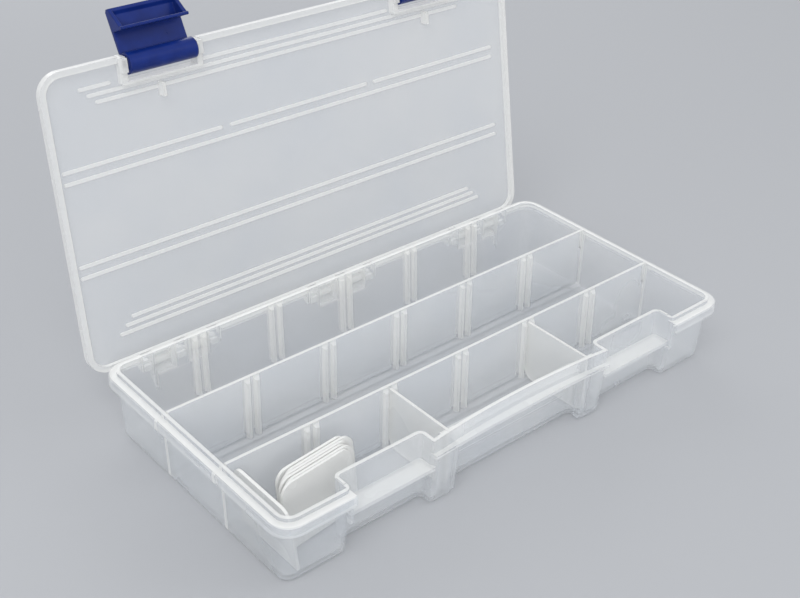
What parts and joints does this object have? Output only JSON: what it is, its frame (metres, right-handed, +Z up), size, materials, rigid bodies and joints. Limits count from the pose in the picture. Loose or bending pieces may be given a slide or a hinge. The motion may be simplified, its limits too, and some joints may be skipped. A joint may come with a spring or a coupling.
{
  "type": "tackle tray",
  "caption": "Flat translucent compartment box with a hinged lid, two swing latches, slotted rows and loose dividers.",
  "frame": {"origin": "middle of the tray's underside, on the face it stands on", "axes": "+X along the length to the right, +Y from the latch side to the hinge side, +Z up; the lid is stored open"},
  "size_m": [0.2318, 0.1592, 0.1573],
  "materials": {
    "clear_plastic": "milky translucent moulded plastic",
    "latch_blue": "opaque deep blue moulded plastic"
  },
  "bodies": {
    "tray_body": {"tray": "clear_plastic"},
    "lid_body": {"lid": "clear_plastic"},
    "latch_left_body": {"latch_left": "latch_blue"},
    "latch_right_body": {"latch_right": "latch_blue"},
    "divider_left_body": {"divider_left": "clear_plastic"},
    "divider_right_body": {"divider_right": "clear_plastic"},
    "spares_body": {"spare_1": "clear_plastic", "spare_2": "clear_plastic", "spare_3": "clear_plastic", "spare_4": "clear_plastic", "spare_5": "clear_plastic", "spare_6": "clear_plastic", "spare_7": "clear_plastic"}
  },
  "joints": [
    {"name": "lid_hinge", "type": "hinge", "parent": "tray_body", "child": "lid_body", "pos_m": [0, 0.0616, 0.0221], "axis": [1, 0, 0], "range_deg": [0, 98.4]},
    {"name": "latch_left_hinge", "type": "hinge", "parent": "lid_body", "child": "latch_left_body", "pos_m": [-0.06585, 0.08553, 0.13896], "axis": [1, 0, 0], "range_deg": [0, 111]},
    {"name": "latch_right_hinge", "type": "hinge", "parent": "lid_body", "child": "latch_right_body", "pos_m": [0.06585, 0.08553, 0.13896], "axis": [1, 0, 0], "range_deg": [0, 111]},
    {"name": "divider_left_lift", "type": "slide", "parent": "tray_body", "child": "divider_left_body", "axis": [0, 0, -1], "range_m": [-0.035, 0]},
    {"name": "divider_right_lift", "type": "slide", "parent": "tray_body", "child": "divider_right_body", "axis": [0, 0, -1], "range_m": [-0.035, 0]},
    {"name": "spares_lift", "type": "slide", "parent": "tray_body", "child": "spares_body", "axis": [0, 0, -1], "range_m": [-0.035, 0]}
  ]
}
